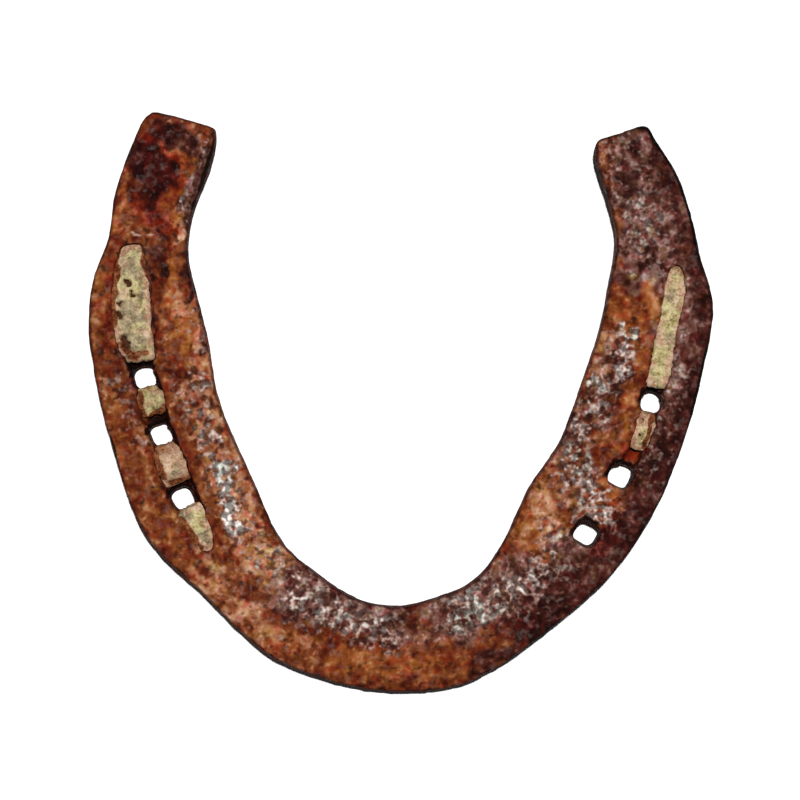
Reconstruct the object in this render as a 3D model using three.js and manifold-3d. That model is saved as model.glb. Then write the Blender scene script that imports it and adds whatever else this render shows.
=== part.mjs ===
// An old forged horseshoe, worn and rusted, with dried earth packed in its nail creases.
// It lies on its hoof face, at z = 0, with its ground face up, its heels towards +Y and its toe
// towards -Y. The iron is one forging. Each lump of earth in a crease is a body of its own.
// Lengths are in millimetres.
import * as THREE from "three";
import { mergeVertices } from "three/addons/utils/BufferGeometryUtils.js";
import Module from "manifold-3d";

const wasm = await Module();
wasm.setup();

// ---- Driving dimensions ----

const THICKNESS = 9; // of the bar, between the hoof face and the ground face
const EDGE_ROUND = 1.1; // wear on all outer edges of the bar
const CREASE_DEPTH = 4.6; // of the groove that the nail heads sit in
const SHALLOW_CREASE_DEPTH = 2.4; // where scale has built up in the groove, next to the toe
const CREASE_WALL_RUN = 1.0; // how far a crease wall leans in from the ground face to the floor
const NAIL_HOLE_AT_HOOF = 4.6; // side of the square hole where it leaves the hoof face
const NAIL_HOLE_AT_GROUND = 6.4; // side of the same hole at the ground face
const TOE_WEAR_FROM_Y = -58.5; // the toe's wear facet starts here and runs out over the toe
const TOE_WEAR_SLOPE = 15; // degrees
const HEEL_BEVEL_RUN = 3.6; // width of the worn bevel inside the left heel
const HEEL_BEVEL_DROP = 3; // depth that it reaches below the ground face
const EARTH_GAP = 0.3; // between a lump of earth and the iron round it
const PAST = 5; // how far a cutting tool runs past the face it cuts
const TOE_CUTTER = 80; // side of the block that cuts the toe's wear facet
const ACROSS_A_CREASE = 16; // more than the width of either crease

// The bar's plan. The outer edge runs from the left heel round the toe to the right heel, and
// the inner edge runs back. Each heel ends in a short straight line between rounded corners.
const OUTER_EDGE = [
  [-60.5, 64.5], [-63.5, 57], [-66.5, 48], [-68, 38], [-71.5, 28.5], [-72.5, 18], [-70.5, 3],
  [-67, -10.5], [-62.5, -24.5], [-56.5, -34.5], [-47.5, -43], [-39, -51.5], [-29.5, -59.5],
  [-17, -64.5], [-5.5, -67], [7.5, -67], [18, -64], [31, -55.5], [44.5, -44.5], [54, -33.5],
  [61, -21], [66.5, -6.5], [70, 6.5], [72.5, 21.5], [69.5, 33.5], [67.5, 43], [64, 53], [59, 61],
];
const INNER_EDGE = [
  [45.5, 55.5], [48.5, 45.5], [50, 37.5], [48.5, 27.5], [46, 16], [42, 4.5], [37, -9],
  [30, -19.5], [23.5, -33], [17, -41.5], [8, -45.5], [-0.5, -47.5], [-10, -46], [-20, -39.5],
  [-28, -32], [-34.5, -18], [-42, -1], [-44.5, 12], [-46.5, 21], [-49.5, 33.5], [-48.5, 43.5],
  [-44.6, 54],
];
const RIGHT_HEEL = { outer: [57.5, 64.8], inner: [44.5, 60.3] };
const LEFT_HEEL = { outer: [-58.5, 67.8], inner: [-41.8, 63.4] };
const HEEL_CORNER = 2; // how far from its corner a heel's end line starts

// The creases at the ground face: down the wall nearer the frog, back up the wall nearer the rim.
const LEFT_CREASE = {
  depth: CREASE_DEPTH,
  frogWall: [
    [-60, 37], [-58.5, 26], [-57.5, 13], [-55.5, 3], [-53, -6], [-49.5, -15.5], [-46, -24],
    [-43, -34],
  ],
  rimWall: [
    [-45.5, -35], [-50.3, -29], [-54, -22], [-57.5, -12.5], [-60, -4], [-62.5, 6], [-65.5, 13],
    [-67, 21], [-66.5, 29.5], [-65, 36],
  ],
};
const RIGHT_CREASE = {
  depth: CREASE_DEPTH,
  frogWall: [[62.5, 32], [61, 25], [59.3, 15.5], [57.3, 6], [55.3, -1.5], [52.8, -10], [48.6, -16]],
  rimWall: [[53, -18.5], [57.2, -10.5], [60.3, -1], [62.5, 7], [64, 17], [65.8, 25], [65.5, 31]],
};
const RIGHT_CREASE_BY_THE_TOE = {
  depth: SHALLOW_CREASE_DEPTH,
  frogWall: [[49.5, -14.5], [46, -20], [43, -25.5], [40.5, -30]],
  rimWall: [[44, -33], [47, -28.5], [50.5, -23], [54, -17]],
};

// Each nail hole: its centre, and the turn that lines its square up with the crease, in degrees.
const NAIL_HOLES = [
  { at: [-59.5, 5.8], turn: 12 },
  { at: [-55.7, -7.5], turn: 20 },
  { at: [-50.8, -22.3], turn: 27 },
  { at: [58.2, -0.1], turn: -12 },
  { at: [51, -17.1], turn: -24 },
  { at: [43.1, -30.6], turn: -30 },
];

// Each lump of earth: the crease it fills, the middle and length of the stretch, the turn of the
// stretch from +Y, and how far its top lies below the ground face.
const EARTH = {
  packed_earth_left_heel: { crease: LEFT_CREASE, at: [-62, 23.5], length: 27, turn: 5, sunk: 0.5 },
  packed_earth_left_nails_1_2: { crease: LEFT_CREASE, at: [-58, 0.3], length: 5.6, turn: 17, sunk: 0.8 },
  packed_earth_left_nails_2_3: { crease: LEFT_CREASE, at: [-53, -14.2], length: 8.4, turn: 20, sunk: 0.7 },
  packed_earth_left_toe: { crease: LEFT_CREASE, at: [-47, -29.5], length: 11.5, turn: 24, sunk: 0.5 },
  packed_earth_right_heel: { crease: RIGHT_CREASE, at: [61.5, 18], length: 28.5, turn: -10, sunk: 0.5 },
  packed_earth_right_nails_1_2: { crease: RIGHT_CREASE, at: [55.5, -6.4], length: 8, turn: -17, sunk: 0.7 },
};

// The upper edge of the worn bevel inside the left heel, from past the heel's end to the quarter,
// where it runs out over the inner edge.
const HEEL_BEVEL_EDGE = [[-43.5, 72], [-45, 62], [-48.3, 54], [-51, 46.5], [-50.8, 40], [-46, 34]];
const CLEAR_OF_THE_BAR = [[-30, 34], [-30, 72]];

const IRON = new THREE.MeshStandardMaterial({
  name: "rusted_iron",
  color: 0x6b3018,
  roughness: 0.85,
  metalness: 0.25,
});
const DRY_EARTH = new THREE.MeshStandardMaterial({
  name: "dry_earth",
  color: 0xb3a37c,
  roughness: 0.95,
  metalness: 0,
});

// ---- Helpers ----

const point = ([x, y]) => new THREE.Vector2(x, y);

// A closed three.js geometry as a solid that can be cut and joined.
function solid(geometry) {
  const bare = geometry.clone();
  bare.deleteAttribute("normal");
  bare.deleteAttribute("uv");
  const merged = mergeVertices(bare, 1e-4);
  return new wasm.Manifold(
    new wasm.Mesh({
      numProp: 3,
      vertProperties: merged.attributes.position.array,
      triVerts: new Uint32Array(merged.index.array),
    }),
  );
}

function meshOf(name, cut, material) {
  const { numVert, numProp, vertProperties, triVerts } = cut.getMesh();
  const positions = new Float32Array(numVert * 3);
  for (let i = 0; i < numVert; i++) {
    positions.set(vertProperties.subarray(i * numProp, i * numProp + 3), i * 3);
  }
  const geometry = new THREE.BufferGeometry();
  geometry.setAttribute("position", new THREE.BufferAttribute(positions, 3));
  geometry.setIndex(new THREE.BufferAttribute(triVerts, 1));
  geometry.computeVertexNormals();
  const mesh = new THREE.Mesh(geometry, material);
  mesh.name = name;
  return mesh;
}

// The point a given distance from a corner towards another point.
const awayFrom = (corner, towards, distance) =>
  point(corner).add(point(towards).sub(point(corner)).setLength(distance));

// ---- The iron ----

function barPlan() {
  const plan = new THREE.Shape();
  const roundHeel = (heel, first, second, next) => {
    const leave = awayFrom(heel[first], heel[second], HEEL_CORNER);
    const arrive = awayFrom(heel[second], heel[first], HEEL_CORNER);
    plan.quadraticCurveTo(...heel[first], leave.x, leave.y);
    plan.lineTo(arrive.x, arrive.y);
    plan.quadraticCurveTo(...heel[second], ...next);
  };
  plan.moveTo(...OUTER_EDGE[0]);
  plan.splineThru(OUTER_EDGE.slice(1).map(point));
  roundHeel(RIGHT_HEEL, "outer", "inner", INNER_EDGE[0]);
  plan.splineThru(INNER_EDGE.slice(1).map(point));
  roundHeel(LEFT_HEEL, "inner", "outer", OUTER_EDGE[0]);
  return plan;
}

function bar() {
  const geometry = new THREE.ExtrudeGeometry(barPlan(), {
    depth: THICKNESS - 2 * EDGE_ROUND,
    curveSegments: 4,
    bevelThickness: EDGE_ROUND,
    bevelSize: EDGE_ROUND,
    bevelOffset: -EDGE_ROUND,
    bevelSegments: 3,
  });
  return solid(geometry.translate(0, 0, EDGE_ROUND));
}

// The solid that fills a crease up to past the ground face, shrunk by a gap on all sides.
function creaseFill({ frogWall, rimWall, depth }, gap = 0) {
  const plan = new THREE.Shape();
  plan.moveTo(...frogWall[0]);
  plan.splineThru(frogWall.slice(1).map(point));
  plan.lineTo(...rimWall[0]);
  plan.splineThru(rimWall.slice(1).map(point));
  const geometry = new THREE.ExtrudeGeometry(plan, {
    depth: PAST,
    curveSegments: 2,
    bevelThickness: depth - gap,
    bevelSize: CREASE_WALL_RUN,
    bevelOffset: -CREASE_WALL_RUN - gap,
    bevelSegments: 3,
  });
  return solid(geometry.translate(0, 0, THICKNESS));
}

// A square punch, wide at the ground face and narrow at the hoof face, run past both faces.
function punch({ at, turn }) {
  const taper = (NAIL_HOLE_AT_GROUND - NAIL_HOLE_AT_HOOF) / THICKNESS;
  const topSide = NAIL_HOLE_AT_GROUND + taper * PAST;
  const bottomSide = NAIL_HOLE_AT_HOOF - taper * PAST;
  const geometry = new THREE.CylinderGeometry(
    topSide * Math.SQRT1_2,
    bottomSide * Math.SQRT1_2,
    THICKNESS + 2 * PAST,
    4,
  );
  geometry.rotateX(Math.PI / 2).rotateZ(Math.PI / 4 + THREE.MathUtils.degToRad(turn));
  return solid(geometry.translate(...at, THICKNESS / 2));
}

// The solid over the toe's wear facet, which falls away from the wear line to the toe's edge.
function toeWear() {
  const geometry = new THREE.BoxGeometry(TOE_CUTTER, TOE_CUTTER, TOE_CUTTER);
  geometry.translate(0, -TOE_CUTTER / 2, TOE_CUTTER / 2);
  geometry.rotateX(THREE.MathUtils.degToRad(TOE_WEAR_SLOPE));
  return solid(geometry.translate(0, TOE_WEAR_FROM_Y, THICKNESS));
}

// The solid over the left heel's inner bevel, which leans down from its edge into the throat.
function heelBevel() {
  const plan = new THREE.Shape();
  plan.moveTo(...HEEL_BEVEL_EDGE[0]);
  plan.splineThru(HEEL_BEVEL_EDGE.slice(1).map(point));
  CLEAR_OF_THE_BAR.forEach((corner) => plan.lineTo(...corner));
  const geometry = new THREE.ExtrudeGeometry(plan, {
    depth: PAST,
    curveSegments: 2,
    bevelThickness: HEEL_BEVEL_DROP,
    bevelSize: HEEL_BEVEL_RUN,
    bevelOffset: -HEEL_BEVEL_RUN,
    bevelSegments: 1,
  });
  return solid(geometry.translate(0, 0, THICKNESS));
}

function forging() {
  const cuts = [
    creaseFill(LEFT_CREASE),
    creaseFill(RIGHT_CREASE),
    creaseFill(RIGHT_CREASE_BY_THE_TOE),
    ...NAIL_HOLES.map(punch),
    toeWear(),
    heelBevel(),
  ];
  return cuts.reduce((iron, cut) => iron.subtract(cut), bar());
}

// ---- The earth ----

function earth({ crease, at, length, turn, sunk }) {
  const height = CREASE_DEPTH + PAST;
  const stretch = new THREE.BoxGeometry(ACROSS_A_CREASE, length, height);
  stretch.rotateZ(THREE.MathUtils.degToRad(turn));
  stretch.translate(...at, THICKNESS - sunk - height / 2);
  const lump = solid(stretch).intersect(creaseFill(crease, EARTH_GAP));
  return NAIL_HOLES.map(punch).reduce((rest, hole) => rest.subtract(hole), lump);
}

// ---- The part ----

const horseshoe = new THREE.Group();
horseshoe.add(meshOf("horseshoe_iron", forging(), IRON));
for (const [name, stretch] of Object.entries(EARTH)) {
  horseshoe.add(meshOf(name, earth(stretch), DRY_EARTH));
}

// The part's origin is the middle of its footprint, on the surface that it lies on.
const middle = new THREE.Box3().setFromObject(horseshoe).getCenter(new THREE.Vector3());
horseshoe.position.set(-middle.x, -middle.y, 0);

export default horseshoe;
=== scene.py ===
"""The looks of an old forged horseshoe: pitted, rusted iron, with dried earth in its nail creases.

The iron and each lump of earth are rebuilt as fine, rough meshes round their CAD nodes. Patches
painted on the fine mesh say where the rust is orange, light, dark, cool or crimson, where painted
shade darkens it nearly to black, and where it carries pale flecks, partly a crust and partly
painted glints. The rust material works from them. Lengths named here are in millimetres, and are
turned into metres by MM.
"""

import bpy
import numpy as np
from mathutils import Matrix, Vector, kdtree, noise


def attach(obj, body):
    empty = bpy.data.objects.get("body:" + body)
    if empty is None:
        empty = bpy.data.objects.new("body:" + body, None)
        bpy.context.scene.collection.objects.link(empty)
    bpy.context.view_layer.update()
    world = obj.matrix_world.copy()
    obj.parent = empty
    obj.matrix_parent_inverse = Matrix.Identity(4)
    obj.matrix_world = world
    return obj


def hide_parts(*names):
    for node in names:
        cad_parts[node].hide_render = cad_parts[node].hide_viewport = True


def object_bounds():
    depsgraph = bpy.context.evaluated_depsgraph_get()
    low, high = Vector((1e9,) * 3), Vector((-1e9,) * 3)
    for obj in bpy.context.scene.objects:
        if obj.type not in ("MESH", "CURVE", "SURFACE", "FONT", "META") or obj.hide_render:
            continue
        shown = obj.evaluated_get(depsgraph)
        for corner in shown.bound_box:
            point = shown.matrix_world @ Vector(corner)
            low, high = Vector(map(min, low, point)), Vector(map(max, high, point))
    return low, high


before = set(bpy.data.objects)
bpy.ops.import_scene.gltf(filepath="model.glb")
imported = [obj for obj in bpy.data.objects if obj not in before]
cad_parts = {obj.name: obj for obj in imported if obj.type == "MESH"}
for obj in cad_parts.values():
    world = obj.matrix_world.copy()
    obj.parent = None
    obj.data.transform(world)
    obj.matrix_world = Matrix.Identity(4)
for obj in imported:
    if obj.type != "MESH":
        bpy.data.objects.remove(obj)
cad_low, cad_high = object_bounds()

MM = 0.001
GROUND_FACE = cad_high[2] / MM  # height of the shoe's upper face
MIDDLE = ((cad_low[0] + cad_high[0]) / 2, (cad_low[1] + cad_high[1]) / 2)

# ---- Patches painted on the iron ----
# Each patch is a soft stroke from one point to another: (x, y), (x, y), radius, strength.

ORANGE = [
    ((-59.4, 65.5), (-60.6, 61), 1.3, 0.45),
    ((-64.4, 48), (-67, 39), 1.3, 0.7),
    ((-53.5, 32), (-52.8, 24), 1.5, 1.0),
    ((-51.2, 20), (-50.2, 11), 1.7, 1.0),
    ((-52.6, 58), (-53.6, 43), 1.8, 0.9),
    ((-46.5, 61), (-45.6, 59), 1.6, 0.5),
    ((-69, 30), (-70, 16), 1.8, 0.45),
    ((-68, 2), (-64, -14), 2.2, 0.4),
    ((-58, -24), (-50, -35), 3.2, 0.4),
    ((-36, -50), (-27, -56), 3.6, 0.45),
    ((-14, -60.5), (12, -61.5), 3.0, 0.65),
    ((49.5, 26), (52, 17), 2.4, 0.7),
    ((57.5, 26), (55.5, 8), 1.6, 0.7),
    ((53, 4), (51.4, -9), 1.2, 0.9),
    ((51, -10), (54.5, -12.5), 1.5, 0.7),
    ((26, -21), (32, -34), 3.0, 0.6),
    ((48.2, -20.5), (46, -25), 2.4, 1.0),
    ((49, 44), (49.5, 33), 1.6, 0.6),
    ((47, -36), (43, -40), 2.2, 0.6),
]
LIGHT = [
    # The first stroke is a painted highlight on the lit face of the worn bevel inside the left
    # heel.
    ((-51.4, 45), (-50.8, 38), 1.0, 0.8),
    ((-51.8, 25), (-50.4, 18), 1.4, 0.9),
    ((-47.5, 24), (-44.5, 8), 3.0, 0.9),
    ((-45.5, 6), (-38, -24), 5.0, 0.85),
    ((-47, -40), (-30, -54), 4.0, 0.6),
    ((-37, -30), (-26, -42), 4.5, 1.0),
    ((30, -23), (37, -36), 4.5, 0.8),
    ((41, 2), (46, 14), 3.8, 0.85),
    ((36, -12), (44, -24), 4.5, 0.6),
    ((46, 34), (52, 36), 2.0, 0.4),
]
DARK = [
    ((-60.5, 57), (-56, 52), 4.2, 1.0),
    ((-55.5, 63), (-49.5, 60.5), 3.4, 0.8),
    ((-60, 48), (-57, 41), 3.0, 0.5),
    ((-56.6, 38), (-56, 29), 1.5, 0.7),
    ((-49.6, 35), (-48.6, 24), 1.1, 0.75),
    # The next three strokes are painted shade: along the inner wall of the left crease, and in the
    # crease above the first left nail hole.
    ((-59.6, 36), (-58.2, 25), 0.7, 0.8),
    ((-58.2, 25), (-57.2, 12), 0.7, 0.8),
    ((-64.6, 12), (-62, 4), 1.2, 0.7),
    ((-46.4, 22), (-45.4, 12), 0.8, 0.6),
    ((61, 61), (68, 40), 4.6, 1.0),
    ((69, 38), (72, 20), 3.4, 1.0),
    ((71.5, 18), (62, -19), 3.4, 1.0),
    ((61, -20), (40, -46), 4.6, 1.0),
    ((42, -40), (30, -52), 5.0, 1.0),
    ((16, -62), (34, -54), 2.2, 0.7),
    ((60, 38), (57, 31), 2.4, 0.6),
    ((60, -8), (54, -22), 4.0, 0.7),
    ((54, 58), (52, 48), 2.4, 0.6),
    ((47, 59), (46.5, 52), 1.2, 0.6),
]
COOL = [
    ((-24, -44), (-4, -50), 6.5, 0.85),
    ((-48, 6), (-41, -10), 3.5, 0.35),
    ((13, -49), (38, -38), 7.5, 0.9),
    ((42, -18), (38, -8), 5.0, 0.5),
    ((58, 58), (56, 34), 9.0, 1.0),
    ((67, 30), (60, -18), 6.0, 0.8),
    ((50, 12), (46, -2), 5.0, 0.5),
    ((-6, -53), (14, -53), 4.0, 0.45),
    ((-45.6, 58), (-50, 44), 2.0, 1.0),
]
# Pale flecks, partly a crust and partly painted glints.
CRUST_AND_GLINT_FLECKS = [
    ((-41.5, -15.5), (-39, -28.5), 2.6, 1.0),
    ((-48, 6), (-44, -10), 3.2, 0.6),
    ((-37, -28), (-30, -37), 3.4, 0.45),
    ((-23, -45.5), (-5, -53), 5.0, 0.76),
    ((-12.4, -49.2), (-11.2, -49.6), 1.7, 0.95),
    ((14, -48.5), (33, -41), 5.2, 0.82),
    ((29, -39.5), (36, -32), 3.2, 0.5),
    ((37, -8), (46, -26), 4.6, 0.8),
    ((47, 4), (42, -6), 3.4, 0.7),
    ((53, 47), (57, 36), 4.0, 0.58),
    ((50, 58), (58, 36), 6.0, 0.4),
    ((53, 16), (51, 8), 3.2, 0.85),
    ((63, 8), (58, -16), 4.0, 0.5),
    # These two are painted highlights on the worn bevel inside the left heel.
    ((-44.4, 61.5), (-47.2, 54), 0.8, 0.8),
    ((-49.6, 48.5), (-50.2, 42.5), 0.7, 0.8),
    ((-66, 4), (-60, -8), 2.6, 0.3),
]
# Red stains, where the rust is still fresh.
CRIMSON = [
    ((-58.4, 60), (-54.5, 52), 4.2, 0.95),
    ((-60, 46), (-56, 40), 3.4, 0.8),
    ((-66, 33), (-66.6, 25), 1.6, 0.6),
    ((-49.4, 6), (-46.6, -4), 1.2, 0.6),
    ((50, -24), (46, -34), 2.4, 0.7),
    ((52, -12), (56, -10), 1.6, 0.8),
    ((24, -52), (33, -50), 3.0, 0.5),
]
# Painted shade, nearly black: along the edge of the worn bevel inside the left heel, on the inner
# wall of the left crease, and beside the left nail holes.
SHADE_STROKES = [
    ((-42.4, 62.4), (-44.9, 54), 0.7, 1.0),
    ((-44.9, 54), (-48.1, 45), 0.7, 1.0),
    ((-48.2, 45), (-49.4, 36), 0.5, 0.8),
    ((-56.7, 6.3), (-55.2, 0), 0.5, 0.9),
    ((-55.2, 0), (-53.3, -5.5), 0.5, 0.9),
    ((-53.3, -5.5), (-48.8, -17.9), 0.55, 1.0),
    ((-48.8, -17.9), (-45.8, -24.8), 0.5, 0.9),
    ((-62.8, 12.5), (-62.6, 8), 1.3, 0.8),
    ((-61.5, 10.2), (-57.5, 10.6), 0.8, 0.9),
    ((-58.6, -4.2), (-55, -3.2), 0.7, 0.8),
    ((-53.6, -19.0), (-50, -18.3), 0.8, 0.9),
]
# Stretches of the outer arris darkened nearly to black: painted shade along the edge.
ARRIS_SHADE = [
    ((-67, -10), (-62, -26), 2.5, 0.8),
    ((-62, -26), (-42, -48), 3.0, 1.0),
    ((-42, -48), (-20, -63), 3.0, 1.0),
    ((-20, -63), (6, -67), 2.5, 0.8),
    ((58, 63), (68, 37), 3.5, 1.0),
    ((70, 10), (65, -10), 3.0, 0.8),
    ((65, -10), (47, -42), 3.5, 1.0),
    ((47, -42), (22, -60), 3.5, 0.9),
]
# Thin ridges and scratches with a pale line along them: a painted highlight where the edge of a
# layer of scale catches the light.
RIDGES = [
    [(-62.3, 39.3), (-60.8, 38.6), (-58.6, 38.6), (-56.4, 39.1)],
    [(-47.6, 64.4), (-43.6, 63.2)],
    [(-44.2, 62.0), (-45.4, 57.5), (-47.3, 53)],
    [(-50.7, 47.6), (-50.2, 43.2)],
    [(46.0, 14.4), (49.0, 12.5)],
    [(-67.0, 26), (-67.2, 21)],
    [(-66.8, 16), (-65.2, 12.8)],
]

# The middle line of each crease, and half the width of a crease with a margin.
CREASE_LINES = [
    [(-62.5, 37), (-62.5, 24), (-60.5, 8), (-56, -7), (-51, -21), (-44, -34.5)],
    [(64, 31.5), (62.5, 18), (59, 2), (54.5, -10), (48.5, -20), (42, -32)],
]
CREASE_HALF_WIDTH = 5.0
# Where rust scale has nearly filled the crease: from, to, radius.
FILLED_CREASE = [
    ((53.2, -12.6), (51.8, -14.4), 4.0),
    ((49, -20), (42, -32), 5.0),
]
FILLED_SHARE = 0.75  # of the depth of the crease there

# The middle of each square nail hole, how far it is turned in degrees, and half its side.
NAIL_HOLES = [
    ((-59.5, 5.8), 12, 2.5),
    ((-55.7, -7.5), 20, 2.5),
    ((-50.8, -22.3), 27, 2.5),
    ((58.2, -0.1), -12, 2.4),
    ((51, -17.1), -24, 2.8),
    ((43.1, -30.6), -30, 2.9),
]
HOLE_SQUARENESS = 3.2  # 2 would be a circle, and a large number a sharp square
HOLE_LIP = 0.7  # how far the worn lip of a nail hole slopes in from the ground face
HOLE_STEEP = (0.15, 0.5)  # where the wall of a hole begins and is full, from level to upright
HOLE_REACH = (4.0, 3.4)  # how far from the middle of a hole its wall ends and is full

BEND_RADIUS = 63  # from the middle of the shoe to the middle of the bar
# Above this height in the plan the branches lean in towards the heels, by this much times the
# square of the distance.
LEAN_FROM = 20
LEAN = 0.0065

# Sizes of the cells in the fine meshes, and how often each mesh is smoothed.
IRON_CELL = 0.55
IRON_SMOOTHING = 2
IRON_SMOOTHING_AGAIN = 3
EARTH_CELL = 0.3
EARTH_SMOOTHING = 14

# How high the roughness stands on the iron, and how deep it cuts.
HAMMER_MARKS = 0.2
DENTS = 0.12
CRUST = 0.17
PITS = 0.3
SCALE_RIDGES = 0.2
FIBRES = 0.14
CRUMBLED_WALLS = 0.45
LEVEL_FACES_SUNK = 0.26  # keeps the lumps on the level faces inside the CAD shape
TALLEST = 0.2
TALLER_IN_CREASE = 0.4  # than the tallest elsewhere

# The same for the earth.
CRUMBS = 0.26
FINE_CRUMBS = 0.12
SWELL = 0.65  # of the sides, which closes the gap that the CAD leaves round each lump
BELOW_GROUND_FACE = 0.1


def smooth_step(start, end, value):
    """0 at the start, 1 at the end, and an even curve between."""
    t = np.clip((value - start) / (end - start), 0, 1)
    return t * t * (3 - 2 * t)


def distance_to_segment(plan, start, end):
    a, b = np.array(start, float), np.array(end, float)
    along = b - a
    share = np.clip((plan - a) @ along / (along @ along), 0, 1)
    return np.linalg.norm(plan - a - share[:, None] * along, axis=1)


def distance_to_lines(plan, lines):
    """How far each point is from the nearest of several lines, each a list of its corners."""
    segments = [pair for line in lines for pair in zip(line, line[1:])]
    return np.min([distance_to_segment(plan, start, end) for start, end in segments], axis=0)


def stroke(plan, start, end, radius):
    """How strongly a soft stroke covers each point, from 0 to 1."""
    return smooth_step(1.5 * radius, 0.5 * radius, distance_to_segment(plan, start, end))


def covered(plan, strokes):
    """The most that any of several strokes covers each point, from 0 to 1."""
    return np.max([stroke(plan, *line) for line in strokes], axis=0)


def painted(points, strokes, ragged=1.6):
    """The strongest of several strokes at each point, with edges made ragged by noise."""
    plan = ragged_plan(points, ragged, size=3.5, seed=61)
    cover = [strength * stroke(plan, a, b, radius) for a, b, radius, strength in strokes]
    return np.max(cover, axis=0)


def ragged_plan(points, amount, size, seed):
    """The points as seen from above, pushed about by noise in lumps of that size."""
    push = np.stack([lumps(points, size, seed, 2), lumps(points, size, seed + 1, 2)], axis=1)
    return points[:, :2] + amount * push


def lumps(points, size, seed, octaves=1):
    """Noise in lumps of about that size, from about -1 to 1, one value for each point."""
    shift = Vector((seed * 3.17, seed * 1.73, seed * 0.79))
    scaled = (points / size).tolist()
    return np.array([noise.fractal(Vector(p) + shift, 1.0, 2.0, octaves) for p in scaled]) * 1.5


def warped(points, size, amount, seed):
    """The points, pushed about by noise, so that a pattern looked up there is irregular."""
    push = [lumps(points, size, seed + axis) for axis in range(3)]
    return points + amount * np.stack(push, axis=1)


# ---- Meshes ----


def remeshed(piece, cell, smoothing):
    """An even, fine mesh of the object's shape."""
    remesh = piece.modifiers.new("remesh", "REMESH")
    remesh.mode = "VOXEL"
    remesh.voxel_size = cell * MM
    soften = piece.modifiers.new("soften", "SMOOTH")
    soften.factor = 0.5
    soften.iterations = smoothing
    graph = bpy.context.evaluated_depsgraph_get()
    mesh = bpy.data.meshes.new_from_object(piece.evaluated_get(graph))
    piece.modifiers.clear()
    return mesh


def fine_copy(node_name, name, cell, smoothing):
    """A new object with an even, fine mesh of a CAD node's shape."""
    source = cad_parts[node_name]
    piece = bpy.data.objects.new(name, source.data.copy())
    bpy.context.scene.collection.objects.link(piece)
    piece.data = remeshed(piece, cell, smoothing)
    piece.data.materials.clear()
    return piece


def read_mesh(mesh):
    """Vertex positions in millimetres, and vertex normals."""
    count = len(mesh.vertices)
    places, normals = np.zeros(count * 3), np.zeros(count * 3)
    mesh.vertices.foreach_get("co", places)
    mesh.vertex_normals.foreach_get("vector", normals)
    return places.reshape(-1, 3) / MM, normals.reshape(-1, 3)


def write_places(mesh, points):
    """Moves the vertices to those points, in millimetres, and shades the mesh smooth."""
    mesh.vertices.foreach_set("co", (points * MM).ravel())
    mesh.polygons.foreach_set("use_smooth", np.ones(len(mesh.polygons), bool))
    mesh.update()


def write_attributes(mesh, **attributes):
    """Stores one number for each vertex under each name, for the material to read."""
    for name, values in attributes.items():
        attribute = mesh.attributes.new(name, "FLOAT", "POINT")
        attribute.data.foreach_set("value", np.asarray(values, np.float32))


def along_and_across(points):
    """How far each point is along the bar from heel to heel, and how far across it."""
    side = np.abs(points[:, 0])
    up = points[:, 1]
    below = np.minimum(up, 0)
    down = BEND_RADIUS * np.arctan2(-below, np.maximum(side, 1e-6))
    along = np.maximum(up, 0) - down
    along = np.where(points[:, 0] < 0, along, -np.pi * BEND_RADIUS - along)
    middle = BEND_RADIUS - LEAN * np.maximum(up - LEAN_FROM, 0) ** 2
    return along, np.hypot(side, below) - middle


def hole_rims(points, sideways):
    """Which points are on the wall of a nail hole, and how much painted shade the rim gets, from 0
    to 1.
    """
    on_wall, rim_shade = np.zeros(len(points)), np.zeros(len(points))
    for middle, turn, half_side in NAIL_HOLES:
        offset = points[:, :2] - middle
        sides = np.abs(turned(offset, turn))
        on_wall = np.maximum(on_wall, smooth_step(*HOLE_REACH, sides.max(axis=1)))
        reach = rounded_reach(sides)
        # The rim on the heel side, whose wall faces away from the light, gets painted shade.
        heel_side = smooth_step(0.0, 2.0, offset[:, 1] - 0.4 * offset[:, 0])
        rim = smooth_step(1.3, 0.3, reach - half_side + 0.4 * lumps(points, 1.5, 41, 2))
        rim_shade = np.maximum(rim_shade, rim * heel_side)
    return on_wall * smooth_step(*HOLE_STEEP, sideways), rim_shade


def rounded_reach(sides):
    """Half the side of the rounded square through each point, from its distances to the axes."""
    return (sides**HOLE_SQUARENESS).sum(axis=1) ** (1 / HOLE_SQUARENESS)


def turned(offsets, degrees):
    """Offsets in the plan, measured along the sides of a square turned by that angle."""
    cosine, sine = np.cos(np.radians(degrees)), np.sin(np.radians(degrees))
    return offsets @ np.array([[cosine, -sine], [sine, cosine]])


def narrow_nail_holes(points, sideways):
    """Fills the taper of each nail hole with scale, down to a worn lip at the ground face."""
    lip = HOLE_LIP * smooth_step(GROUND_FACE - 1.3, GROUND_FACE + 0.1, points[:, 2])
    ragged = lip + 0.12 * lumps(points, 2.4, 40)
    for middle, turn, half_side in NAIL_HOLES:
        offset = points[:, :2] - middle
        sides = np.abs(turned(offset, turn))
        share = smooth_step(*HOLE_REACH, sides.max(axis=1)) * smooth_step(*HOLE_STEEP, sideways)
        scale = np.minimum((half_side + ragged) / np.maximum(rounded_reach(sides), 0.1), 1)
        points[:, :2] = middle + offset * (1 + share * (scale - 1))[:, None]


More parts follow.
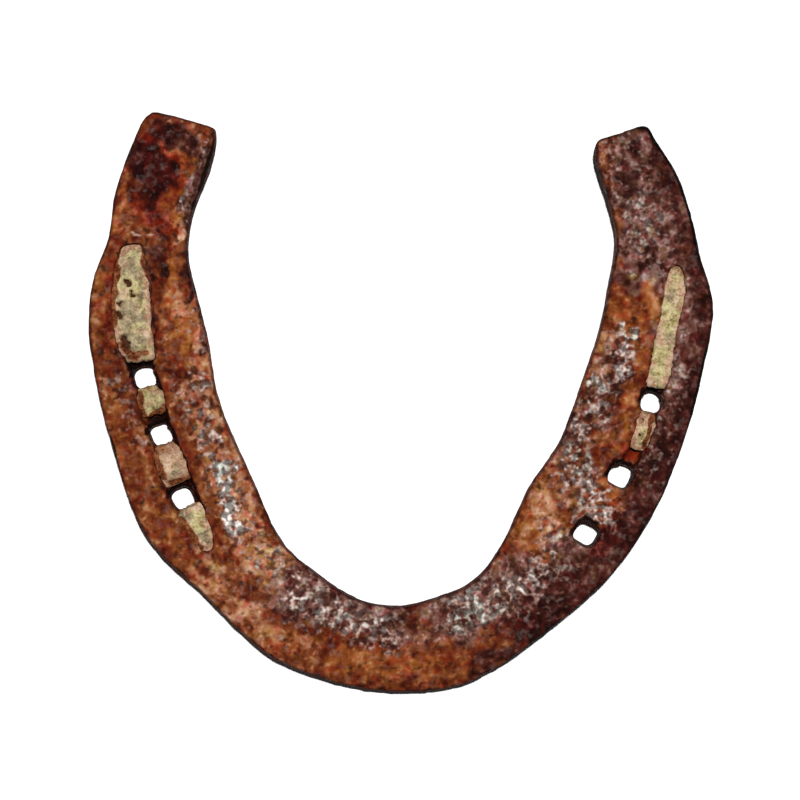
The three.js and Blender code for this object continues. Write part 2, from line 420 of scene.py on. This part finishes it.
def forged_iron():
    """The shoe, with hammered faces, layered scale and pits, all cut into the CAD node's shape."""
    piece = fine_copy("horseshoe_iron", "forged_iron", IRON_CELL, IRON_SMOOTHING)
    points, normals = read_mesh(piece.data)
    narrow_nail_holes(points, 1 - np.abs(normals[:, 2]))
    depth = GROUND_FACE - points[:, 2]
    filled = covered(points[:, :2], FILLED_CREASE) * FILLED_SHARE
    points[:, 2] += filled * depth * smooth_step(4.5, 3.5, depth)
    write_places(piece.data, points)
    piece.data = remeshed(piece, IRON_CELL, IRON_SMOOTHING_AGAIN)
    mesh = piece.data
    points, normals = read_mesh(mesh)
    upward = np.clip(normals[:, 2], 0, 1)
    sideways = 1 - np.abs(normals[:, 2])
    crease_away = distance_to_lines(points[:, :2], CREASE_LINES)
    by_crease = smooth_step(CREASE_HALF_WIDTH + 0.6, CREASE_HALF_WIDTH - 0.2, crease_away)
    flecks = painted(points, CRUST_AND_GLINT_FLECKS)
    orange, dark = painted(points, ORANGE), painted(points, DARK)
    ridge_away = distance_to_lines(points[:, :2], RIDGES)
    in_hole, hole_rim_shade = hole_rims(points, sideways)

    bent = warped(points, 2.6, 0.8, 11)
    hammered = HAMMER_MARKS * lumps(points, 16, 1, 2)
    dents = DENTS * lumps(points, 6.0, 2, 2)
    crust = lumps(bent, 2.1, 3, 2)
    pit = smooth_step(0.28, 0.75, lumps(bent, 3.2, 4, 2))
    fibre = lumps(points * (1, 1, 7), 7, 6, 2) * sideways
    crumbled = CRUMBLED_WALLS * lumps(points, 2.4, 8, 2) * sideways * by_crease * (1 - in_hole)

    coarse = np.clip(0.75 + 0.6 * flecks - 0.4 * orange, 0.3, 1.3)
    ridges = SCALE_RIDGES * smooth_step(0.9, 0.0, ridge_away)
    height = hammered + dents + coarse * (CRUST * crust - PITS * pit) + ridges
    height = height * (1 - 0.62 * sideways) + FIBRES * fibre * (1 - in_hole) + crumbled
    height -= LEVEL_FACES_SUNK * np.abs(normals[:, 2])
    tallest = TALLEST + TALLER_IN_CREASE * by_crease
    points = points + normals * np.minimum(height, tallest)[:, None]
    low, high = np.array(cad_low) / MM, np.array(cad_high) / MM
    points = np.clip(points, low, high)
    write_places(mesh, points)

    depth = GROUND_FACE - points[:, 2]
    # Deep in a crease the colour gets painted shade.
    in_crease = by_crease * smooth_step(0.7, 2.0, depth)
    along, across = along_and_across(points)
    outer_arris = smooth_step(0.97, 0.8, upward) * smooth_step(2.6, 1.0, depth) * (across > 4)
    # Painted shade lies near the top, and only a little of it on the outer and inner walls of the
    # bar.
    soot = np.maximum(painted(points, SHADE_STROKES, 0.35), hole_rim_shade) * smooth_step(7.0, 5.0, depth)
    soot *= 1 - 0.8 * smooth_step(0.65, 0.95, sideways) * (1 - by_crease)
    soot = np.maximum(soot, painted(points, ARRIS_SHADE, 0.5) * outer_arris)
    write_attributes(
        mesh,
        along=along * MM,
        across=across * MM,
        orange=orange,
        light=painted(points, LIGHT),
        dark=dark,
        crimson=painted(points, CRIMSON),
        cool=painted(points, COOL),
        flecks=flecks * (1 - 0.55 * dark) * smooth_step(0.3, 0.9, upward),
        soot=soot,
        ridge_away=np.minimum(ridge_away, 3) + 3 * sideways,
        crease=in_crease,
        # Steep walls get darker rust and painted shade.
        wall=smooth_step(0.1, 0.7, sideways) * (1 - by_crease),
        relief=crust - 1.4 * pit,
    )
    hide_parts("horseshoe_iron")
    return piece


# Each lump of earth: how yellow it is, how pink, and how far it is stained with rust.
EARTH = {
    "packed_earth_left_heel": (0.5, 0.2, 0.05),
    "packed_earth_left_nails_1_2": (0.8, 0.05, 0.15),
    "packed_earth_left_nails_2_3": (0.45, 0.65, 0.12),
    "packed_earth_left_toe": (0.42, 0.15, 0.0),
    "packed_earth_right_heel": (0.85, 0.1, 0.0),
    "packed_earth_right_nails_1_2": (0.5, 0.6, 0.0),
}
# Small pits in the earth: from, to, radius.
HOLES_IN_EARTH = [
    ((-63.6, 27.6), (-63.2, 27.3), 0.6),
    ((-62.4, 25.2), (-62.1, 25.0), 0.4),
    ((-65.2, 23.0), (-65.3, 22.6), 0.4),
    ((-65.4, 20.6), (-65.0, 19.8), 0.5),
    ((-64.4, 14.8), (-63.8, 13.2), 0.7),
    ((56.3, -4.2), (56.3, -4.4), 0.42),
    ((55.4, -7.6), (55.4, -7.8), 0.42),
]
# Where rust has stained the earth, or covered it.
RUST_ON_EARTH = [
    ((-66.2, 35), (-66.4, 18), 0.7, 1.0),
    ((-59.6, 36), (-58.8, 29), 0.7, 1.0),
    ((-62.8, 11.2), (-59.2, 10.8), 0.7, 0.8),
    ((-64.6, 13.4), (-62.8, 11.2), 0.8, 0.9),
    ((-60.8, 1.6), (-59.8, -3.0), 0.7, 0.7),
    ((-57.6, -3.2), (-54.8, -2.6), 0.8, 0.9),
    ((-57.8, -10), (-55.2, -17.0), 0.8, 1.0),
    ((-53.6, -18.6), (-50.4, -17.8), 0.6, 0.8),
    ((-50.7, -27.4), (-46.9, -33.8), 0.8, 1.0),
    ((58.8, -3.0), (56.4, -10.4), 0.55, 1.0),
]


def distance_to_side(points, normals):
    """How far each point is from the nearest point on a steep side of the same mesh."""
    steep = np.flatnonzero(np.abs(normals[:, 2]) < 0.4)
    tree = kdtree.KDTree(len(steep))
    for index in steep:
        tree.insert(Vector((*points[index, :2], 0)), int(index))
    tree.balance()
    return np.array([tree.find(Vector((x, y, 0)))[2] for x, y, _ in points.tolist()])


def earth_lump(node_name, yellow, pink, stain, seed):
    """A crumbly lump that fills its crease from wall to wall and slumps at its ends."""
    piece = fine_copy(node_name, node_name.replace("packed_", ""), EARTH_CELL, EARTH_SMOOTHING)
    mesh = piece.data
    points, normals = read_mesh(mesh)
    edge = distance_to_side(points, normals)
    middle = points.mean(axis=0)
    length_axis = np.linalg.svd((points - middle)[::7, :2], full_matrices=False)[2][0]
    along = (points - middle)[:, :2] @ length_axis
    to_end = np.abs(along).max() - np.abs(along) + 0.9 * lumps(points, 2.2, seed, 2)
    upward = np.clip(normals[:, 2], 0, 1)

    bent = warped(points, 1.6, 0.4, seed + 9)
    fine_crumbs = FINE_CRUMBS * lumps(bent, 0.8, seed + 2, 2)
    crumbs = CRUMBS * lumps(bent, 1.9, seed + 1, 2) + fine_crumbs
    swell = SWELL * (1 - upward)
    points = points + normals * (crumbs + swell)[:, None]

    bottom = points[:, 2].min()
    hole = covered(ragged_plan(points, 0.45, size=1.1, seed=71), HOLES_IN_EARTH)
    slump = 0.3 * smooth_step(2.8, 0.0, to_end)
    lowered = np.maximum(slump, 0.5 * hole)
    points[:, 2] = bottom + (points[:, 2] - bottom) * (1 - lowered)
    points[:, 2] = np.minimum(points[:, 2], GROUND_FACE - BELOW_GROUND_FACE)
    write_places(mesh, points)
    rim = smooth_step(0.8, 0.0, edge + 0.5 * lumps(points, 1.3, seed + 6, 2))
    rust = painted(points, RUST_ON_EARTH, 0.6)
    cloud = lumps(points, 3, seed + 3, 2)
    ochre = lumps(points, 4, seed + 4, 2)
    flush = lumps(points, 2.6, seed + 5, 2)
    write_attributes(
        mesh,
        stain=np.clip(stain + 0.8 * slump + 0.2 * rim + 0.2 * cloud + rust, 0, 1),
        yellow=np.clip(yellow + 0.6 * ochre, 0, 1),
        pink=np.clip(pink + 0.5 * rim + 0.5 * flush, 0, 1),
        # Painted shade in the pits and in the low spots between crumbs.
        hole=np.maximum(hole, 0.3 * smooth_step(-0.15, -0.5, crumbs)),
    )
    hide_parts(node_name)
    return piece


# ---- Materials ----

SHINE = 0.08  # of rust and of dry earth; Blender's usual value is 0.5


class Shader:
    """A node material, built by short calls. Sizes of patterns are in millimetres."""

    def __init__(self, name):
        self.material = bpy.data.materials.new(name)
        self.material.use_nodes = True
        self.tree = self.material.node_tree
        self.tree.nodes.clear()
        self.place = self.add("ShaderNodeTexCoord").outputs["Object"]

    def add(self, kind, inputs=(), **settings):
        node = self.tree.nodes.new(kind)
        for key, value in settings.items():
            setattr(node, key, value)
        for key, value in dict(inputs).items():
            self.put(node.inputs[key], value)
        return node

    def put(self, socket, value):
        if isinstance(value, bpy.types.NodeSocket):
            self.tree.links.new(value, socket)
        else:
            socket.default_value = value

    def painted(self, name):
        """One of the numbers that are stored for each vertex of the mesh."""
        return self.add("ShaderNodeAttribute", attribute_name=name).outputs["Fac"]

    def noise(self, size, detail=3, roughness=0.55, warp=0.0, place=None):
        inputs = {"Vector": place or self.place, "Scale": 1 / (size * MM), "Detail": detail}
        inputs.update({"Roughness": roughness, "Distortion": warp})
        return self.add("ShaderNodeTexNoise", inputs).outputs["Fac"]

    def math(self, operation, a, b, clamp=False):
        node = self.add("ShaderNodeMath", {0: a, 1: b}, operation=operation, use_clamp=clamp)
        return node.outputs[0]

    def weighted(self, start, *terms):
        """The start plus each value times its weight."""
        total = start
        for value, weight in terms:
            inputs = {0: value, 1: weight, 2: total}
            total = self.add("ShaderNodeMath", inputs, operation="MULTIPLY_ADD").outputs[0]
        return total

    def span(self, value, start, end, low=0.0, high=1.0):
        """The value, mapped smoothly from start..end to low..high."""
        inputs = {"Value": value, "From Min": start, "From Max": end, "To Min": low, "To Max": high}
        return self.add("ShaderNodeMapRange", inputs, interpolation_type="SMOOTHSTEP").outputs[0]

    def stretched(self, amount):
        """The place measured along and across the bar, so that patterns stretch along it."""
        along = self.math("DIVIDE", self.painted("along"), amount)
        height = self.add("ShaderNodeSeparateXYZ", {0: self.place}).outputs[2]
        inputs = {0: along, 1: self.painted("across"), 2: height}
        return self.add("ShaderNodeCombineXYZ", inputs).outputs[0]

    def ragged(self, share, noise, reach=1.0):
        """A painted share with its soft edge broken into patches by noise."""
        return self.span(self.weighted(-0.5 * reach, (share, 1.0), (noise, reach)), 0.2, 0.8)

    def shaded(self, share, colour, code):
        """The colour, darkened towards its product with another, by a share."""
        node = self.add("ShaderNodeMix", data_type="RGBA", blend_type="MULTIPLY")
        self.put(node.inputs[0], share)
        self.put(node.inputs[6], colour)
        self.put(node.inputs[7], srgb(code))
        return node.outputs[2]

    def ramp(self, value, positions, codes):
        """A colour for the value, blended between hex colours at those positions."""
        node = self.add("ShaderNodeValToRGB", {0: value})
        elements = node.color_ramp.elements
        while len(elements) < len(codes):
            elements.new(1.0)
        for element, position, code in zip(elements, positions, codes):
            element.position = position
            element.color = srgb(code)
        return node.outputs[0]

    def mix(self, share, a, b):
        node = self.add("ShaderNodeMix", data_type="RGBA")
        self.put(node.inputs[0], share)
        self.put(node.inputs[6], a)
        self.put(node.inputs[7], b)
        return node.outputs[2]

    def finish(self, colour, roughness, height, bump_depth):
        """The material, with little shine, and a bump that is this deep in millimetres."""
        relief = {"Height": height, "Strength": 1.0, "Distance": bump_depth * MM}
        inputs = {
            "Base Color": colour,
            "Roughness": roughness,
            "Normal": self.add("ShaderNodeBump", relief).outputs[0],
            "Specular IOR Level": SHINE,
        }
        surface = self.add("ShaderNodeBsdfPrincipled", inputs)
        self.add("ShaderNodeOutputMaterial", {"Surface": surface.outputs[0]})
        return self.material


def srgb(code):
    """A hex colour as the linear colour that nodes use."""
    values = [int(code[i : i + 2], 16) / 255 for i in (1, 3, 5)]
    return (*[v / 12.92 if v <= 0.04045 else ((v + 0.055) / 1.055) ** 2.4 for v in values], 1.0)


# Colours of rust from its darkest hollows to its lightest grains, for each kind of patch.
RUST_TONES = (0.09, 0.25, 0.37, 0.5, 0.63, 0.76, 0.91)
WARM_RUST = ("#340c02", "#481708", "#55210d", "#612d13", "#703a1c", "#814b2b", "#9b6b4f")
LIGHT_RUST = ("#582814", "#743b21", "#884e30", "#9a6644", "#aa7858", "#b68c6e", "#c8aa92")
COOL_RUST = ("#280c07", "#3c1b14", "#4c2a22", "#5c3a31", "#6f4c43", "#846660", "#a7938f")
DARK_RUST = ("#120302", "#1e0604", "#280b08", "#33120d", "#411c16", "#502a24", "#6e4c44")
ORANGE_RUST = ("#541e0b", "#642b11", "#723716", "#80441d", "#8c5027", "#986036", "#aa7850")
# The pale flecks, partly a crust and partly painted glints, from their thin edges to the thickest.
CRUST_AND_GLINT_TONES = (0.46, 0.55, 0.63, 0.71, 0.8)
PALE_CRUST_AND_GLINTS = ("#663c32", "#865e52", "#aa8e84", "#cdbfb6", "#ece6de")
GAP_IN_CRUST = "#220c0a"
RIDGE_HIGHLIGHT = "#b89c8c"
# Colours that the rust is multiplied by, towards a hue or a darker tone.
TO_CRIMSON = "#ffc8cc"
TO_OLIVE = "#e8e8b0"
TO_FRESH_RUST = "#ffb0ac"
TO_COOL_CRUST_AND_GLINTS = "#e6f4f0"
# The next three colours multiply in painted shade: on steep walls, where the rust is also darker,
# deep in the creases, and nearly black where shade is marked.
TO_WALL_SHADE = "#a08478"
TO_CREASE_SHADE = "#d0b0a0"
TO_PAINTED_SHADE = "#503838"


def rusted_iron():
    """Rust from orange to nearly black, with pale flecks, partly a pitted crust and partly painted
    glints, where the flecks are painted.
    """
    s = Shader("rusted_iron")
    flecks, relief = s.painted("flecks"), s.painted("relief")

    fine = s.noise(1.95, 1.3, 0.5, 0.3)
    sparks = s.span(s.noise(1.5, 1.3, 0.6, 0.2), 0.55, 0.72)
    medium = s.noise(3.2, 2, 0.5, 0.4, s.stretched(2.0))
    broad = s.noise(9, 2, 0.5)
    scales = [(fine, 1.2), (medium, 0.75), (broad, 0.4), (relief, 0.1), (sparks, 0.22)]
    tone = s.weighted(-0.66, *scales)

    patches = s.noise(2.6, 2.4, 0.6, 0.2, s.stretched(1.5))
    kinds = {"light": LIGHT_RUST, "cool": COOL_RUST, "orange": ORANGE_RUST, "dark": DARK_RUST}
    colour = s.ramp(tone, RUST_TONES, WARM_RUST)
    for name, colours in kinds.items():
        share = s.ragged(s.painted(name), patches, 1.1)
        colour = s.mix(share, colour, s.ramp(tone, RUST_TONES, colours))

    # The hue wanders between crimson and olive.
    hue = s.noise(2.3, 2, 0.5)
    colour = s.shaded(s.span(hue, 0.5, 0.66), colour, TO_CRIMSON)
    colour = s.shaded(s.span(hue, 0.46, 0.32), colour, TO_OLIVE)
    colour = s.shaded(s.ragged(s.painted("crimson"), patches, 1.0), colour, TO_FRESH_RUST)

    # The pale flecks, partly a crust and partly painted glints: irregular, with dark gaps between
    # them, dense where they are painted.
    clusters = s.noise(4.5, 2, 0.5)
    fleck_field = s.noise(1.6, 1.3, 0.6, 0.12)
    thick = s.math("POWER", flecks, 3.0)
    fleck_terms = [(fleck_field, 1.1), (flecks, 0.08), (clusters, 0.08), (thick, 0.12)]
    fleck = s.span(s.weighted(-0.07, *fleck_terms), 0.52, 0.68)
    opacity = s.weighted(0.06, (flecks, 0.94), (s.painted("light"), 0.28))
    fleck_share = s.math("MULTIPLY", fleck, opacity, clamp=True)
    fleck_tone = s.weighted(-0.08, (fleck_field, 0.75), (s.noise(1.1, 2, 0.6), 0.4), (thick, 0.2))
    crust = s.ramp(fleck_tone, CRUST_AND_GLINT_TONES, PALE_CRUST_AND_GLINTS)
    crust = s.shaded(s.span(broad, 0.5, 0.6), crust, TO_COOL_CRUST_AND_GLINTS)
    colour = s.mix(fleck_share, colour, crust)
    gap_field = s.noise(1.7, 1.3, 0.6, 0.12)
    gap_terms = [(gap_field, 1.1), (flecks, 0.27), (thick, -0.08), (clusters, -0.16)]
    gap_level = s.weighted(0.015, *gap_terms, (s.painted("orange"), -0.06))
    gap = s.span(gap_level, 0.55, 0.74)
    colour = s.mix(s.math("MULTIPLY", gap, 0.75), colour, srgb(GAP_IN_CRUST))

    # A painted highlight along the ridges.
    ridge_level = s.weighted(-0.5, (s.painted("ridge_away"), 1.0), (fleck_field, 1.1))
    ridge = s.span(ridge_level, 0.42, 0.06)
    colour = s.mix(s.math("MULTIPLY", ridge, 0.6), colour, srgb(RIDGE_HIGHLIGHT))
    # Darker rust and painted shade on the steep walls.
    colour = s.shaded(s.painted("wall"), colour, TO_WALL_SHADE)
    # Painted shade deep in the creases.
    colour = s.shaded(s.painted("crease"), colour, TO_CREASE_SHADE)
    # Painted shade, nearly black, where it is marked.
    colour = s.shaded(s.ragged(s.painted("soot"), fine, 0.6), colour, TO_PAINTED_SHADE)

    roughness = s.span(fleck, 0.0, 1.0, low=0.9, high=0.62)
    height = s.weighted(0.0, (fine, 0.8), (fleck, 0.18), (gap, -0.25))
    return s.finish(colour, roughness, height, bump_depth=0.3)


# Colours of dry earth from its hollows to its crumbs.
EARTH_TONES = (0.25, 0.42, 0.6, 0.8)
GREY_EARTH = ("#605340", "#83745a", "#9e8e70", "#b8a98c")
YELLOW_EARTH = ("#6e5e38", "#988a5c", "#b8ab7e", "#d0c498")
PINK_EARTH = ("#76543e", "#a07a60", "#ba9a80", "#d0b8a0")
STAINED_EARTH = ("#341408", "#562a16", "#784628", "#9a6c4c")
SHADE_IN_EARTH_HOLLOWS = "#462616"


def dry_earth():
    """Khaki earth with grey and pinkish clods, stained with rust where it meets the iron."""
    s = Shader("dry_earth")
    grain = s.noise(0.55, 3, 0.6)
    clods = s.noise(1.8, 3, 0.6, 0.4)
    tone = s.weighted(-0.42, (grain, 0.8), (clods, 1.04))
    kinds = {"yellow": YELLOW_EARTH, "pink": PINK_EARTH, "stain": STAINED_EARTH}
    colour = s.ramp(tone, EARTH_TONES, GREY_EARTH)
    for name, colours in kinds.items():
        share = s.ragged(s.painted(name), clods, 0.9)
        colour = s.mix(share, colour, s.ramp(tone, EARTH_TONES, colours))
    # Painted shade in the pits and hollows of the earth.
    colour = s.mix(s.ragged(s.painted("hole"), clods, 1.2), colour, srgb(SHADE_IN_EARTH_HOLLOWS))
    height = s.weighted(0.0, (grain, 1.0), (clods, 0.8))
    return s.finish(colour, 0.95, height, bump_depth=0.25)


# ---- Stage, light and camera ----

VIEW_WIDTH = 185.3  # of what the camera sees at the ground face
CAMERA_HEIGHT = 1000  # above the ground face
CAMERA_OFFSET = (-0.2, 0.5)  # in the plan, from the middle of the shoe
SENSOR = 36

FLOOR_REACH = 3000
FLOOR_COLOUR = (0.93, 0.93, 0.93, 1)
KEY_FROM = (0.035, 0.18, 1.0)  # nearly overhead, a little from the heels
KEY_STRENGTH = 4.2
KEY_WIDTH = 2.5  # in degrees
ROOM_LIGHT = 0.04  # how brightly the room lights the shoe
ROOM_BRIGHTNESS = 0.95  # of the room where the camera sees it


def floor():
    """A matt white floor that catches the shadow."""
    side = FLOOR_REACH * MM
    mesh = bpy.data.meshes.new("floor")
    corners = [(-side, -side, 0), (side, -side, 0), (side, side, 0), (-side, side, 0)]
    mesh.from_pydata(corners, [], [(0, 1, 2, 3)])
    piece = bpy.data.objects.new("floor", mesh)
    bpy.context.scene.collection.objects.link(piece)
    material = bpy.data.materials.new("pale_floor")
    material.use_nodes = True
    surface = material.node_tree.nodes["Principled BSDF"]
    surface.inputs["Base Color"].default_value = FLOOR_COLOUR
    surface.inputs["Roughness"].default_value = 1.0
    surface.inputs["Specular IOR Level"].default_value = 0.0
    mesh.materials.append(material)


def light(name, direction, strength, angle):
    """A distant light that shines from that direction, with an angle in degrees for softness."""
    lamp = bpy.data.lights.new(name, "SUN")
    lamp.energy = strength
    lamp.angle = np.radians(angle)
    piece = bpy.data.objects.new(name, lamp)
    piece.rotation_euler = Vector(direction).to_track_quat("Z", "Y").to_euler()
    bpy.context.scene.collection.objects.link(piece)


def studio():
    """One light nearly overhead, and a pale room that adds little light of its own."""
    light("key", KEY_FROM, KEY_STRENGTH, KEY_WIDTH)
    world = bpy.data.worlds.new("studio")
    world.use_nodes = True
    tree = world.node_tree
    backdrop = tree.nodes["Background"]
    backdrop.inputs[0].default_value = (1, 1, 1, 1)
    seen = tree.nodes.new("ShaderNodeLightPath").outputs["Is Camera Ray"]
    strength = tree.nodes.new("ShaderNodeMapRange")
    strength.inputs["To Min"].default_value = ROOM_LIGHT
    strength.inputs["To Max"].default_value = ROOM_BRIGHTNESS
    tree.links.new(seen, strength.inputs["Value"])
    tree.links.new(strength.outputs[0], backdrop.inputs[1])
    bpy.context.scene.world = world
    bpy.context.scene.view_settings.view_transform = "Standard"


def camera():
    """A camera that looks straight down on the shoe, as the photo does."""
    lens = bpy.data.cameras.new("camera")
    lens.sensor_width = SENSOR
    lens.lens = SENSOR * CAMERA_HEIGHT / VIEW_WIDTH
    piece = bpy.data.objects.new("camera", lens)
    x, y = [middle + offset * MM for middle, offset in zip(MIDDLE, CAMERA_OFFSET)]
    piece.location = (x, y, (GROUND_FACE + CAMERA_HEIGHT) * MM)
    bpy.context.scene.collection.objects.link(piece)
    bpy.context.scene.camera = piece


# ---- The scene ----

iron = forged_iron()
iron.data.materials.append(rusted_iron())
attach(iron, "root")

earth_material = dry_earth()
for number, (node_name, (yellow, pink, stain)) in enumerate(EARTH.items()):
    lump = earth_lump(node_name, yellow, pink, stain, 20 + 7 * number)
    lump.data.materials.append(earth_material)
    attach(lump, "root")

floor()
studio()
camera()
